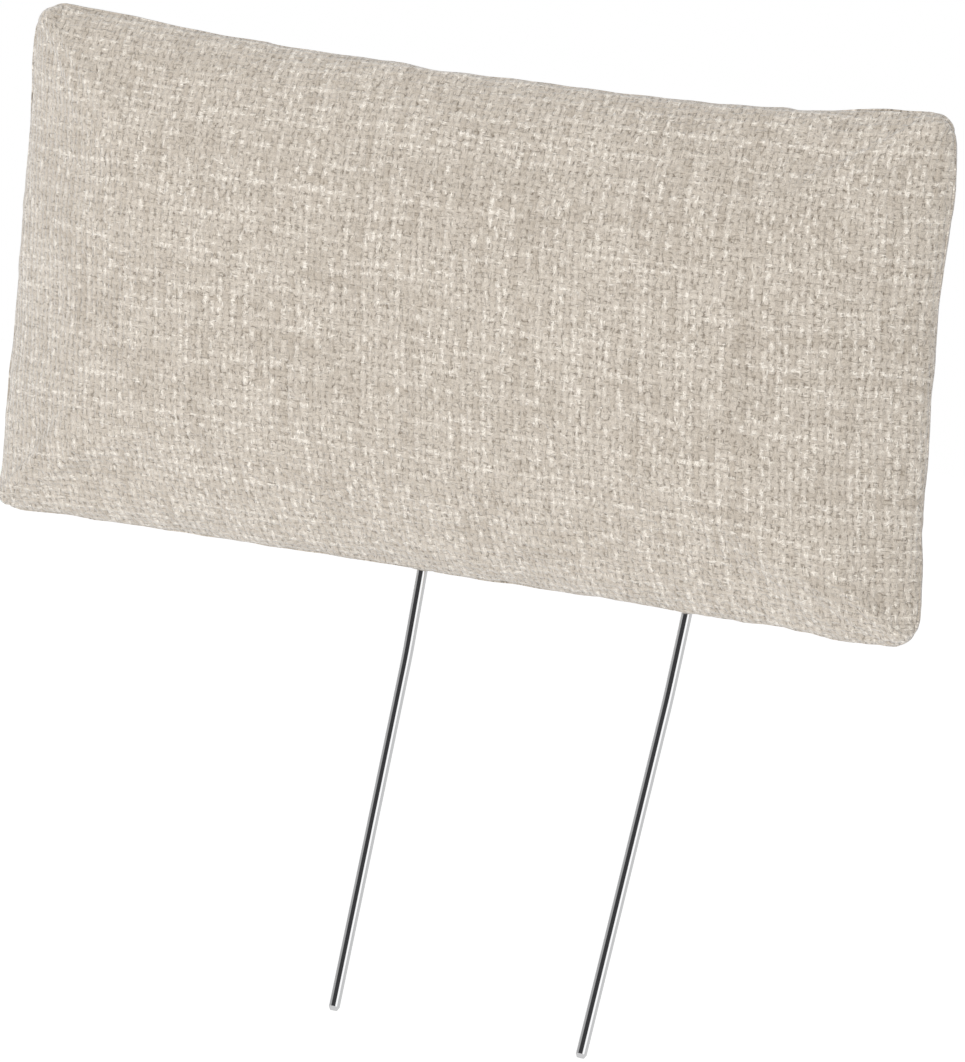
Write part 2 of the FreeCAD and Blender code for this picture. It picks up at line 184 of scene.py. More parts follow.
# What polished metal sees round it: the bearings in degrees where a card or box begins, is whole,
# begins to fade and ends, and how bright it is
BRIGHT_BOX = (1.2, 1.2, 1.2, 1)
FRONT_CARD = (0.045, 0.045, 0.047, 1)
BACK_CARD = (0.05, 0.05, 0.05, 1)
SEEN_ROUND = (
    ((44.0, 50.0, 78.0, 90.0), BRIGHT_BOX),
    ((-52.0, -44.0, 41.0, 47.0), FRONT_CARD),
    ((-144.0, -139.0, -114.0, -104.0), BRIGHT_BOX),
    ((-159.0, -156.0, -144.0, -139.0), BACK_CARD),
)
WALLS_LEFT = 0.46                         # the walls get brighter from the left to the right
WALLS_RIGHT = 0.66
GROUND = (0.7, 0.7, 0.7, 1)
GROUND_FULL = -14.0                       # heights in degrees between which the ground fades out
GROUND_END = -6.0


def aim_camera():
    """Telephoto view from the right and a little above, with the picture turned a little clockwise."""
    away = Vector((
        math.sin(VIEW_AZIMUTH) * math.cos(VIEW_ELEVATION),
        -math.cos(VIEW_AZIMUTH) * math.cos(VIEW_ELEVATION),
        math.sin(VIEW_ELEVATION),
    ))
    right = Vector((math.cos(VIEW_AZIMUTH), math.sin(VIEW_AZIMUTH), 0))
    up = away.cross(right)
    rolled_right = right * math.cos(VIEW_ROLL) + up * math.sin(VIEW_ROLL)
    rolled_up = up * math.cos(VIEW_ROLL) - right * math.sin(VIEW_ROLL)
    data = bpy.data.cameras.new("camera")
    data.lens = LENS
    data.clip_end = 100
    camera = bpy.data.objects.new("camera", data)
    bpy.context.scene.collection.objects.link(camera)
    turn = Matrix((rolled_right, rolled_up, away)).transposed().to_4x4()
    camera.matrix_world = Matrix.Translation(VIEW_AIM + away * VIEW_DISTANCE) @ turn
    bpy.context.scene.camera = camera


# ---- shader graphs -----------------------------------------------------------------------------

class Value:
    """A shader socket with arithmetic, so that a pattern reads as a formula."""

    def __init__(self, graph, socket):
        self.graph = graph
        self.socket = socket

    def __add__(self, other):
        return self.graph.math("ADD", self, other)

    def __sub__(self, other):
        return self.graph.math("SUBTRACT", self, other)

    def __rsub__(self, other):
        return self.graph.math("SUBTRACT", other, self)

    def __mul__(self, other):
        return self.graph.math("MULTIPLY", self, other)

    def __truediv__(self, other):
        return self.graph.math("DIVIDE", self, other)

    __radd__ = __add__


class Graph:
    """A node tree, built by formulas."""

    def __init__(self, tree):
        self.tree = tree

    def node(self, kind, inputs=(), **settings):
        made = self.tree.nodes.new(kind)
        for key, value in settings.items():
            setattr(made, key, value)
        for key, value in dict(inputs).items():
            self.feed(made.inputs[key], value)
        return made

    def feed(self, socket, value):
        if isinstance(value, Value):
            self.tree.links.new(value.socket, socket)
        else:
            socket.default_value = value

    def math(self, operation, *operands):
        made = self.node("ShaderNodeMath", operation=operation)
        for socket, operand in zip(made.inputs, operands):
            self.feed(socket, operand)
        return Value(self, made.outputs[0])

    def attribute(self, name):
        """The x, y and z of a vector attribute."""
        source = self.node("ShaderNodeAttribute", attribute_name=name)
        return self.split(Value(self, source.outputs["Vector"]))

    def split(self, vector):
        parts = self.node("ShaderNodeSeparateXYZ", {"Vector": vector})
        return [Value(self, output) for output in parts.outputs]

    def place(self):
        """Object coordinates."""
        return self.split(Value(self, self.node("ShaderNodeTexCoord").outputs["Object"]))

    def vector(self, x, y, z):
        joined = self.node("ShaderNodeCombineXYZ", {"X": x, "Y": y, "Z": z})
        return Value(self, joined.outputs[0])

    def noise(self, vector, scale, detail, roughness=0.5):
        made = self.node("ShaderNodeTexNoise", {
            "Vector": vector, "Scale": scale, "Detail": detail, "Roughness": roughness})
        return Value(self, made.outputs["Fac"])

    def scaled(self, vector, factor):
        made = self.node("ShaderNodeVectorMath", operation="SCALE")
        self.feed(made.inputs[0], vector)
        self.feed(made.inputs["Scale"], factor)
        return Value(self, made.outputs[0])

    def chance(self, vector):
        """A random number from 0 to 1 for each whole vector."""
        made = self.node("ShaderNodeTexWhiteNoise", {"Vector": vector}, noise_dimensions="3D")
        return Value(self, made.outputs["Value"])

    def cells(self, vector, scale):
        """Distance to the nearest cell's middle."""
        made = self.node("ShaderNodeTexVoronoi", {"Vector": vector, "Scale": scale})
        return Value(self, made.outputs["Distance"])

    def ramp(self, value, low, high, to_low=0.0, to_high=1.0):
        """Smooth step from one range to another, held at its ends."""
        made = self.node("ShaderNodeMapRange", {
            "Value": value, "From Min": low, "From Max": high, "To Min": to_low, "To Max": to_high})
        made.interpolation_type = "SMOOTHSTEP"
        return Value(self, made.outputs["Result"])

    def mix(self, share, one, other):
        made = self.node("ShaderNodeMix", data_type="RGBA")
        for socket, value in zip((made.inputs[0], made.inputs[6], made.inputs[7]), (share, one, other)):
            self.feed(socket, value)
        return Value(self, made.outputs[2])


class Surface(Graph):
    """The node tree of a material; its constants are set on the shader itself."""

    def __init__(self, name, **constants):
        self.material = bpy.data.materials.new(name)
        self.material.use_nodes = True
        super().__init__(self.material.node_tree)
        self.shader = self.tree.nodes["Principled BSDF"]
        self.set(**constants)

    def set(self, **inputs):
        for label, value in inputs.items():
            self.feed(self.shader.inputs[label.replace("_", " ")], value)

    def bump(self, height, distance, strength):
        made = self.node("ShaderNodeBump", {
            "Height": height, "Distance": distance, "Strength": strength})
        self.set(Normal=Value(self, made.outputs["Normal"]))


def colour(red, green, blue):
    """A screen colour of 0 to 255 as linear light."""
    linear = [(c / 255 / 12.92) if c / 255 <= 0.04045 else ((c / 255 + 0.055) / 1.055) ** 2.4
              for c in (red, green, blue)]
    return (*linear, 1.0)


# ---- the woven cover ---------------------------------------------------------------------------

YARN = colour(216, 206, 193)
# painted highlight on the tops of the yarns and on loose fibres
YARN_HIGHLIGHT = colour(254, 247, 236)
YARN_DULL = colour(198, 187, 173)
# painted shade for the gaps between the yarns and for the dark streaks beside them
GAP_SHADE = colour(132, 120, 105)

# Noise in the cloth, in cells per metre
DRIFT = 20.0                              # yarns wander slowly
JITTER = 260.0                            # and unevenly from one crossing to the next
FLUFF = 110.0                             # patches where the gaps between yarns close
TUFT = 360.0
FUZZ = 1100.0
FIBRE = (1900.0, 420.0)                   # across and along each fibre or strand
# streaks of painted shadow beside the yarns
SHADE_STREAK = (700.0, 210.0)
# streaks of painted highlight on loose fibres
GLINT_STREAK = (680.0, 200.0)


def woven_fabric():
    """Chunky plain weave of soft, uneven yarns that pass over and under each other, with painted shade
    between the yarns and painted highlights on them.
    """
    g = Surface("cover_fabric", Roughness=0.9, Specular_IOR_Level=0.2)
    g.set(Sheen_Weight=0.8, Sheen_Roughness=0.4)
    across, along, _ = g.attribute("fabric")

    def speckle(scale, seed, detail=1.0, roughness=0.5):
        """Noise that is the same both ways over the cloth."""
        return g.noise(g.vector(across, along, seed), scale, detail, roughness)

    def streaks(thin, long, seeds, detail=1.0):
        """Noise drawn out along the warp and along the weft."""
        upright = g.noise(g.vector(across * thin, along * long, seeds[0]), 1.0, detail)
        level = g.noise(g.vector(across * long, along * thin, seeds[1]), 1.0, detail)
        return upright, level

    def wobble(seed):
        """How far a yarn strays from its place, in yarns."""
        return (speckle(DRIFT, seed) - 0.5) * 1.2 + (speckle(JITTER, seed + 5.0, 2.0) - 0.5) * 0.9

    u = (across + along * WARP_SKEW) / WARP_PITCH + wobble(0.0)
    v = along / WEFT_PITCH + wobble(3.0)
    warp = g.math("FLOOR", u)
    weft = g.math("FLOOR", v)
    in_warp = g.math("FRACT", u) - 0.5
    in_weft = g.math("FRACT", v) - 0.5
    # Each yarn is thicker and thinner along its length
    warp_width = g.noise(g.vector(warp * 7.3, v * 0.6, 0.0), 1.0, 1.0) * 0.8 + 0.32
    weft_width = g.noise(g.vector(u * 0.4, weft * 5.7, 9.0), 1.0, 1.0) * 0.6 + 0.24

    def round_top(offset, width):
        share = offset * 2.0 / width
        return g.math("MAXIMUM", 1.0 - share * share, -0.6)

    def wave(position, thread):
        return g.math("SINE", (position + thread) * math.pi)

    warp_height = wave(v, warp) * 0.6 + round_top(in_warp, warp_width)
    weft_height = wave(u, weft) * -0.6 + round_top(in_weft, weft_width)
    warp_over = g.math("GREATER_THAN", warp_height, weft_height)
    height = g.math("MAXIMUM", warp_height, weft_height)

    fuzz = speckle(FUZZ, 1.0, 2.0, 0.7)
    warp_fibre, weft_fibre = streaks(*FIBRE, (2.0, 4.0))
    top_fibre = weft_fibre + (warp_fibre - weft_fibre) * warp_over
    fibre = top_fibre * 0.5 + fuzz * 0.5
    cell = g.chance(g.vector(warp, weft, 0.5))

    def brightness(slow, seed, yarn):
        """A yarn keeps its tone for some centimetres, and some yarns are lighter all along."""
        drift = g.noise(g.vector(*slow, seed), 1.0, 1.0)
        return drift + (cell - 0.5) * 0.18 + (g.chance(yarn) - 0.5) * 0.22

    warp_tone = brightness((warp * 3.7, v * 0.12), 2.0, g.vector(warp, 0.5, 0.5))
    weft_tone = brightness((u * 0.08, weft * 4.3), 6.0, g.vector(0.5, weft, 0.5))
    tone = g.math("MAXIMUM", warp_tone * warp_over, weft_tone * (1.0 - warp_over))

    soft_height = height + (fibre - 0.5) * 3.2
    body = g.mix(g.ramp(tone + (fibre - 0.5) * 0.9, 0.22, 0.58), YARN_DULL, YARN)
    # In places the yarns are so fluffy that the gaps between them close; elsewhere painted shade darkens
    # the low places between the yarns
    fluffy = g.ramp(speckle(FLUFF, 15.0, 2.0), 0.40, 0.60)
    gap_shaded = g.mix(g.ramp(soft_height + fluffy * 0.7, -0.9, 0.20), GAP_SHADE, body)
    # Painted shadow: short dark lines beside the yarns, as if cast by loose fibres; and painted
    # highlights where other fibres would catch the light
    shade = g.ramp(g.math("MAXIMUM", *streaks(*SHADE_STREAK, (7.0, 8.0), 0.0)), 0.64, 0.76)
    glint = g.ramp(g.math("MAXIMUM", *streaks(*GLINT_STREAK, (11.0, 12.0), 0.0)), 0.68, 0.78)
    glint = glint * g.ramp(tone, 0.40, 0.62, 0.25, 1.0)
    # Painted highlight on the raised tops of the yarns, stronger on the lighter yarns
    crest_highlight = g.ramp(soft_height, 1.0, 1.85) * g.ramp(tone, 0.44, 0.70, 0.05, 1.0)
    streak_shaded = g.mix(shade * 0.6, gap_shaded, GAP_SHADE)
    woven = g.mix(g.math("MAXIMUM", crest_highlight, glint), streak_shaded, YARN_HIGHLIGHT)
    grain = 1.0 + (fuzz - 0.5) * 0.60 + (speckle(TUFT, 13.0) - 0.5) * 0.25
    g.set(Base_Color=g.scaled(woven, grain))
    g.bump(height + fibre * 1.5, 0.75 * MM, 0.9)
    return g.material


# ---- the cushion -------------------------------------------------------------------------------

def smooth_step(value, low, high):
    """From 0 at one value to 1 at another, without a corner."""
    share = np.clip((value - low) / (high - low), 0, 1)
    return share * share * (3 - 2 * share)


def rough(points, size, seed):
    """Smooth noise from about -1 to 1 over points, with bumps of a given size."""
    flat = points.reshape(-1, 3) / size
    values = [noise.noise(Vector((x + seed, y, z))) for x, y, z in flat]
    return np.array(values).reshape(points.shape[:-1])


def outline_point(s, t):
    """Place in the seam's plane of a point of a panel, s and t from -1 to 1 across and up."""
    x, z = abs(s) * HALF_X, abs(t) * HALF_Z
    inner_x, inner_z = HALF_X - CORNER_RADIUS, HALF_Z - CORNER_RADIUS
    p = np.clip((x - inner_x) / CORNER_RADIUS, 0, 1)
    q = np.clip((z - inner_z) / CORNER_RADIUS, 0, 1)
    x = np.minimum(x, inner_x) + CORNER_RADIUS * p * np.sqrt(1 - q * q / 2)
    z = np.minimum(z, inner_z) + CORNER_RADIUS * q * np.sqrt(1 - p * p / 2)
    x, z = x * np.sign(s), z * np.sign(t)
    slack = 1 - np.abs(x / HALF_X) ** 2.5
    pull = np.where(t > 0, TOP_PULL, BOTTOM_PULL)
    drawn_z = z - pull * slack * np.sign(t) * np.abs(t) ** 3
    tilt = TOP_TILT * np.sin(s * math.pi / 2) * (0.5 + 0.5 * t) ** 2
    drawn_x = x - END_PULL * (1 - t * t) * np.sign(s) * np.abs(s) ** 5
    # No two corners are filled alike
    for corner_s, corner_t, reach_s, reach_t, out_x, up_z in CORNER_PUFFS:
        puff = np.exp(-((s - corner_s) / reach_s) ** 2 - ((t - corner_t) / reach_t) ** 2)
        drawn_x = drawn_x + out_x * puff
        drawn_z = drawn_z + up_z * puff
    # Sewn edges are never quite straight
    flat = np.stack([x, np.zeros_like(x), z], axis=-1)
    wave = rough(flat, EDGE_WAVE_SIZE, 5.0) * EDGE_WAVE
    uneven = (wave + rough(flat, EDGE_RIPPLE_SIZE, 15.0) * EDGE_RIPPLE) * MM
    drawn_x = drawn_x + uneven * np.sign(s) * np.abs(s) ** 8
    drawn_z = drawn_z + uneven * np.sign(t) * np.abs(t) ** 4
    return drawn_x * (1 + TAPER / 2 - TAPER * t), drawn_z - tilt


def panel_places():
    """Grid of s and t, closer together near the seams, with one row along the zip."""
    even = np.linspace(-1, 1, COLUMNS + 1)
    across = EVEN_ACROSS * even + (1 - EVEN_ACROSS) * np.sin(even * math.pi / 2)
    below = np.linspace(0, 1, ROWS_BELOW + 1)
    above = np.linspace(0, 1, ROWS_ABOVE + 1)
    zip_t = ZIP_CENTRE[2] / PAD_Z - 1
    near_seam = 1 - np.cos(below * math.pi / 2)
    low = -1 + (zip_t + 1) * (EVEN_BELOW * below + (1 - EVEN_BELOW) * near_seam)
    near_top = np.sin(above * math.pi / 2)
    high = zip_t + (1 - zip_t) * (EVEN_ABOVE * above + (1 - EVEN_ABOVE) * near_top)
    return np.meshgrid(across, np.concatenate([low, high[1:]]))


def panel_points(crown):
    """Grid of points of one panel before it settles; crown is negative for the front."""
    s, t = panel_places()
    x, z = outline_point(s, t)

    def profile(place, flat):
        share = np.clip((np.abs(place) - flat) / (1 - flat), 0, 1)
        return np.maximum(np.sqrt(1 - share ** 2), 1e-3)

    one, other = profile(s, FLAT_X), profile(t, FLAT_Z)
    rise = (one ** -FULLNESS + other ** -FULLNESS - 1) ** (-1 / FULLNESS)
    return np.stack([PAD_X + x, crown * rise, PAD_Z + z], axis=-1)


def steps(points, axis):
    """Distances between neighbours along one axis of a grid."""
    return np.linalg.norm(np.diff(points, axis=axis), axis=-1)


def travelled(points, axis):
    """Distance over the cloth from the first border, along one axis of a grid."""
    start = np.zeros_like(np.take(points[..., 0], [0], axis=axis))
    return np.concatenate([start, np.cumsum(steps(points, axis), axis=axis)], axis=axis)


def arc_coordinates(points):
    """Distance over the fabric from the panel's middle, along its rows and up its columns."""
    rows, columns = points.shape[:2]
    u, v = travelled(points, 1), travelled(points, 0)
    u -= u[:, columns // 2:columns // 2 + 1]
    v -= v[rows // 2:rows // 2 + 1, :]
    return np.stack([u, v, np.zeros_like(u)], axis=-1)


def grid_faces(index, flip):
    """Quads over a grid of vertex numbers."""
    quads = np.stack([index[:-1, :-1], index[:-1, 1:], index[1:, 1:], index[1:, :-1]], axis=-1)
    quads = quads.reshape(-1, 4)
    return (quads[:, ::-1] if flip else quads).tolist()


def border(index):
    """The vertex numbers round a grid, once each."""
    return np.concatenate([index[0, :-1], index[:-1, -1], index[-1, :0:-1], index[:0:-1, 0]])


def make_object(name, points, faces):
    """A mesh object of its own, linked into the scene."""
    mesh = bpy.data.meshes.new(name)
    mesh.from_pydata(np.asarray(points).tolist(), [], faces)
    mesh.update()
    made = bpy.data.objects.new(name, mesh)
    bpy.context.scene.collection.objects.link(made)
    return made


def settle(front, back):
    """Blows the sewn cover up a little, held at its seam, with some slack cloth next to the seam."""
    count = front.shape[0] * front.shape[1]
    front_index = np.arange(count).reshape(front.shape[:2])
    back_index = front_index + count
    edge = border(front_index)
    back_index[0], back_index[-1] = front_index[0], front_index[-1]
    back_index[:, 0], back_index[:, -1] = front_index[:, 0], front_index[:, -1]
    points = np.concatenate([front.reshape(-1, 3), back.reshape(-1, 3)])
    faces = grid_faces(front_index, False) + grid_faces(back_index, True)
    used = np.unique(np.array(faces))
    renumber = np.zeros(len(points), dtype=int)
    renumber[used] = np.arange(len(used))
    cloth = make_object("settling", points[used], renumber[np.array(faces)].tolist())

    held = cloth.vertex_groups.new(name="held")
    held.add(renumber[edge].tolist(), 1.0, "REPLACE")
    slack = cloth.vertex_groups.new(name="slack")
    rim = points[edge]
    tree = KDTree(len(rim))
    for number, place in enumerate(rim):
        tree.insert(place, number)
    tree.balance()
    for number, place in enumerate(points[used]):
        distance = tree.find(place)[2]
        uneven = 0.7 + 0.6 * noise.noise(Vector(place) / SLACK_SIZE)
        slack.add([number], float(np.clip(uneven * math.exp(-distance / SLACK_WIDTH), 0, 1)), "REPLACE")

    modifier = cloth.modifiers.new("cloth", "CLOTH")
    settings = modifier.settings
    settings.quality = 5
    settings.mass = 0.3
    settings.tension_stiffness = settings.compression_stiffness = 15
    settings.bending_stiffness = 0.3
    settings.vertex_group_mass = "held"
    settings.use_pressure = True
    settings.uniform_pressure_force = PRESSURE
    settings.vertex_group_shrink = "slack"
    settings.shrink_min = 0.0
    settings.shrink_max = -SLACK
    settings.effector_weights.gravity = 0
    for step in range(1, SETTLE_FRAMES + 1):
        bpy.context.scene.frame_set(step)
    done = cloth.evaluated_get(bpy.context.evaluated_depsgraph_get()).to_mesh()
    settled = np.empty(len(used) * 3)
    done.vertices.foreach_get("co", settled)
    bpy.data.objects.remove(cloth)
    bpy.context.scene.frame_set(1)
    moved = settled.reshape(-1, 3) - points[used]
    length = np.linalg.norm(moved, axis=1, keepdims=True)
    moved *= SETTLE_CAP * np.tanh(length / SETTLE_CAP) / np.maximum(length, 1e-9)
    points[used] += moved
    return points[front_index], points[back_index]


def finer(grid):
    """Twice as many cells each way, on smooth curves through the grid's points."""
    def double(rows):
        padded = np.concatenate([2 * rows[:1] - rows[1:2], rows, 2 * rows[-1:] - rows[-2:-1]])
        middle = (9 * (padded[1:-2] + padded[2:-1]) - padded[:-3] - padded[3:]) / 16
        result = np.empty((2 * len(rows) - 1, *rows.shape[1:]))
        result[::2], result[1::2] = rows, middle
        return result
    return double(double(grid).swapaxes(0, 1)).swapaxes(0, 1)


def grid_normals(points, flip):
    """Outward directions over a grid."""
    across = np.gradient(points, axis=1)
    up = np.gradient(points, axis=0)
    normal = np.cross(across, up)
    # At a corner of the panel both directions run along the seam
    for row, next_row in ((0, 2), (-1, -3)):
        for column, next_column in ((0, 2), (-1, -3)):
            rows, columns = slice(*sorted((row, next_row))), slice(*sorted((column, next_column)))
            normal[rows, columns] = normal[next_row, next_column]
            normal[row, column] = normal[next_row, next_column]
    normal /= np.linalg.norm(normal, axis=-1, keepdims=True)
    return -normal if flip else normal


def shell(name, outer, inner, fabric, flip):
    """A thin closed piece between two grids, with fabric coordinates."""
    count = outer.shape[0] * outer.shape[1]
    index = np.arange(count).reshape(outer.shape[:2])
    rim = border(index)
    ahead = np.roll(rim, -1)
    sides = np.stack([ahead, rim, rim + count, ahead + count], axis=-1)
    faces = grid_faces(index, flip) + grid_faces(index + count, not flip)
    faces += (sides[:, ::-1] if flip else sides).tolist()
    made = make_object(name, np.concatenate([outer.reshape(-1, 3), inner.reshape(-1, 3)]), faces)
    layer = made.data.attributes.new("fabric", "FLOAT_VECTOR", "POINT")
    layer.data.foreach_set("vector", np.concatenate([fabric.ravel(), fabric.ravel()]).astype(np.float32))
    made.data.shade_smooth()
    return made


def seam_distance(points):
    """Distance over the cloth to the nearest border."""
    across, up = travelled(points, 1), travelled(points, 0)
    nearest_side = np.minimum(across, across[:, -1:] - across)
    return np.minimum(nearest_side, np.minimum(up, up[-1:] - up))


def worn_in(points, flip):
    """Small undulations, puckers that run out of the seams, and the crease of the seam itself."""
    normal = grid_normals(points, flip)
    distance = seam_distance(points)
    waves = rough(points, WAVE_SIZE, 3.0) * WAVE + rough(points, RIPPLE_SIZE, 8.0) * RIPPLE
    puckers = rough(points, PUCKER_SIZE, 21.0) * np.exp(-distance / PUCKER_REACH) * PUCKER
    crease = -SEAM_CREASE * np.exp(-(distance / SEAM_CREASE_WIDTH) ** 2)
    waves *= smooth_step(distance, 0.0, WAVES_START)
    puckers *= smooth_step(distance, 0.0, PUCKERS_START)
    return points + normal * (waves + puckers + crease)[..., None]


def let_rods_out(points, side):
    """Opens the lower seam round the two rods."""
    from_low_edge = travelled(points, 0)
    for rod in ("rod_left", "rod_right"):
        low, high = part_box(rod)
        exit_x = ROD_EXIT if (low.x + high.x) > 0 else -ROD_EXIT
        share = np.clip(np.abs(points[..., 0] - exit_x) / HOLE_HALF_LENGTH, 0, 1)
        gap = side * HOLE_HALF_WIDTH * np.sqrt(1 - share ** 2)
        points[..., 1] += gap * np.exp(-(from_low_edge / HOLE_REACH) ** 2)
    return points


def zip_places(points):
    """Places along the zip, above its middle line and out of its plane."""
    offset = points - ZIP_CENTRE
    return offset[..., 0], offset @ ZIP_UP, offset @ ZIP_OUT


def from_zip_places(along, above, out):
    """The other way round."""
    flat = along[..., None] * np.array([1.0, 0.0, 0.0])
    return ZIP_CENTRE + flat + above[..., None] * ZIP_UP + out[..., None] * ZIP_OUT


def flatten_round_zip(points):
    """Brings the back panel to the zip's plane, with its row of the zip on the middle line."""
    along, above, out = zip_places(points)
    beside = 1 - smooth_step(np.abs(along), ZIP_HALF_LENGTH, ZIP_HALF_LENGTH + ZIP_FADE)
    near = beside * (1 - smooth_step(np.abs(above), ZIP_FLAT, ZIP_FREE))
    stray = above[ZIP_ROW] * beside[ZIP_ROW]
    above = above - stray * (1 - smooth_step(np.abs(above), 0.0, ZIP_STRAY))
    return from_zip_places(along, above, out * (1 - near))


def open_for_zip(points, side):
    """Draws one side's edge back from the zip's middle, and rolls it in a little."""
    along, above, out = zip_places(points)
    closing, closed = ZIP_HALF_LENGTH - ZIP_SLOT_END, ZIP_HALF_LENGTH + ZIP_SLOT_END
    in_slot = 1 - smooth_step(np.abs(along), closing, closed)
    reach = side * above
    drawn = reach + in_slot * ZIP_SLOT * (1 - smooth_step(reach, 0.0, SLOT_REACH))
    edge = drawn - ZIP_SLOT * in_slot
    depth = np.where(in_slot > 0.5, SLOT_CREASE, PLAIN_CREASE)
    crease = depth * np.exp(-(edge / EDGE_CREASE_WIDTH) ** 2)
    return from_zip_places(along, side * drawn, out - crease)


def cover_piece(name, outer, fabric, flip, nodes, material):
    """One panel of the cover."""
    inner = outer - grid_normals(outer, flip) * CLOTH
    piece = shell(name, outer, inner, fabric, flip)
    piece.data.materials.append(material)
    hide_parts(*nodes)
    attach(piece, "pad")


def wadding_piece(name, outer, fabric, flip, node, material):
    """A sheet of wadding just under the cover."""
    normal = grid_normals(outer, flip)
    piece = shell(name, outer, outer - normal * WADDING, fabric, flip)
    piece.data.materials.append(material)
    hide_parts(node)
    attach(piece, "pad")


def build_cushion(cover_material, wadding_material):
    """The three panels of the cover and the wadding under them."""
    front, back = panel_points(-FRONT_CROWN), panel_points(BACK_CROWN)
    front_fabric = finer(arc_coordinates(front))
    back_fabric = finer(arc_coordinates(back)) + BACK_CUT
    front, back = settle(front, back)
    front = worn_in(finer(front), False)
    back = flatten_round_zip(worn_in(finer(back), True))
    under_front = front - grid_normals(front, False) * UNDER_COVER
    under_back = back - grid_normals(back, True) * UNDER_COVER
    _, above, _ = zip_places(under_back)
    pressed = ZIP_ROOM * (1 - smooth_step(np.abs(above), ZIP_ROOM_FULL, ZIP_ROOM_END))
    under_back = under_back - ZIP_OUT * pressed[..., None]
    every_other = slice(WADDING_INSET, -WADDING_INSET, 2)
    coarse = (every_other, every_other)
    wadding_piece("wadding_front_layer", under_front[coarse], front_fabric[coarse], False,
                  "wadding_front", wadding_material)
    wadding_piece("wadding_back_layer", under_back[coarse], back_fabric[coarse], True,
                  "wadding_back", wadding_material)
    front, back = let_rods_out(front, -1), let_rods_out(back, 1)
    lower, upper = back[:ZIP_ROW + 1], back[ZIP_ROW:]
    lower_fabric, upper_fabric = back_fabric[:ZIP_ROW + 1], back_fabric[ZIP_ROW:]
    cover_piece("cover_front", front, front_fabric, False, ["front_cover"], cover_material)
    cover_piece("cover_back_low", open_for_zip(lower, -1), lower_fabric, True,
                ["back_cover_lower"], cover_material)
    cover_piece("cover_back_high", open_for_zip(upper, 1), upper_fabric, True,
                ["back_cover_upper"], cover_material)


def stitch_zip(material):
    """A row of stitches along each side of the zip."""
    arc = np.linspace(0, math.pi, STITCH_RINGS)
    round_thread = np.linspace(0, 2 * math.pi, THREAD_SIDES, endpoint=False)
    for name, side in (("low", -1), ("high", 1)):
        points, faces = [], []
        for number in range(STITCHES):
            middle = (number - (STITCHES - 1) / 2) * STITCH_PITCH
            start = len(points)
            for turn in arc:
                along = middle - math.cos(turn) * STITCH_LENGTH / 2
                lift = (math.sin(turn) - 0.5) * STITCH_LIFT
                for angle in round_thread:
                    above = side * STITCH_PLACE + math.cos(angle) * THREAD_RADIUS
                    out = lift + math.sin(angle) * THREAD_RADIUS
                    points.append(ZIP_CENTRE + np.array([along, 0, 0]) + above * ZIP_UP + out * ZIP_OUT)
            for ring in range(STITCH_RINGS - 1):
                low = start + ring * THREAD_SIDES
                high = low + THREAD_SIDES
                for k in range(THREAD_SIDES):
                    after = (k + 1) % THREAD_SIDES
                    faces.append([low + k, low + after, high + after, high + k])
            faces.append([start + k for k in reversed(range(THREAD_SIDES))])
            faces.append([high + k for k in range(THREAD_SIDES)])
        row = make_object("zip_stitches_" + name, points, faces)
        row.data.shade_smooth()
        row.data.materials.append(material)
        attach(row, "pad")


# ---- metal, zip and inner materials ------------------------------------------------------------

def chrome():
    """Polished plating with a faint drawn grain and a few dull specks."""
    g = Surface("rod_chrome", Metallic=1.0)
    x, y, z = g.place()
    grain = g.noise(g.vector(x * 2500.0, y * 2500.0, z * 60.0), 1.0, 2.0)
    specks = g.ramp(g.noise(g.vector(x, y, z), 700.0, 3.0), 0.66, 0.80)
    g.set(Base_Color=g.mix(grain, colour(228, 229, 231), colour(240, 240, 241)))
    g.set(Roughness=g.ramp(grain, 0.2, 0.9, 0.03, 0.07) + specks * 0.12)
    return g.material


def zinc_steel():
    """Plated screws and pressed clamps, with cloudy crystals and the odd scratch."""
    g = Surface("zinc_steel", Metallic=1.0)
    x, y, z = g.place()
    cloud = g.noise(g.vector(x, y, z), 260.0, 3.0)
    scratch = g.ramp(g.noise(g.vector(x * 150.0, y * 900.0, z * 2600.0), 1.0, 2.0), 0.62, 0.72)
    plated = g.mix(cloud, colour(176, 180, 184), colour(214, 212, 202))
    g.set(Base_Color=g.mix(scratch * 0.4, plated, colour(236, 236, 236)))
    g.set(Roughness=g.ramp(cloud, 0.3, 0.7, 0.28, 0.48))
    g.bump(cloud, 0.05 * MM, 0.4)
    return g.material


def zip_metal():
    """Satin nickel of the slider and its pull, brighter where fingers rub it."""
    g = Surface("zip_metal", Metallic=1.0)
    x, y, z = g.place()
    brushed = g.noise(g.vector(x * 3000.0, y * 3000.0, z * 260.0), 1.0, 2.0)
    rubbed = g.noise(g.vector(x, y, z), 180.0, 2.0)
    g.set(Base_Color=g.mix(rubbed, colour(158, 156, 152), colour(206, 203, 198)))
    g.set(Roughness=g.ramp(brushed, 0.25, 0.75, 0.24, 0.42) - rubbed * 0.08)
    g.bump(brushed, 0.03 * MM, 0.5)
    return g.material


def zip_plastic():
    """Moulded teeth, dyed like the cover."""
    g = Surface("zip_plastic", Specular_IOR_Level=0.5)
    x, y, z = g.place()
    cloud = g.noise(g.vector(x, y, z), 400.0, 3.0)
    g.set(Base_Color=g.mix(cloud, colour(170, 158, 142), colour(192, 181, 166)))
    g.set(Roughness=g.ramp(cloud, 0.3, 0.7, 0.30, 0.45))
    g.bump(cloud, 0.05 * MM, 0.5)
    return g.material


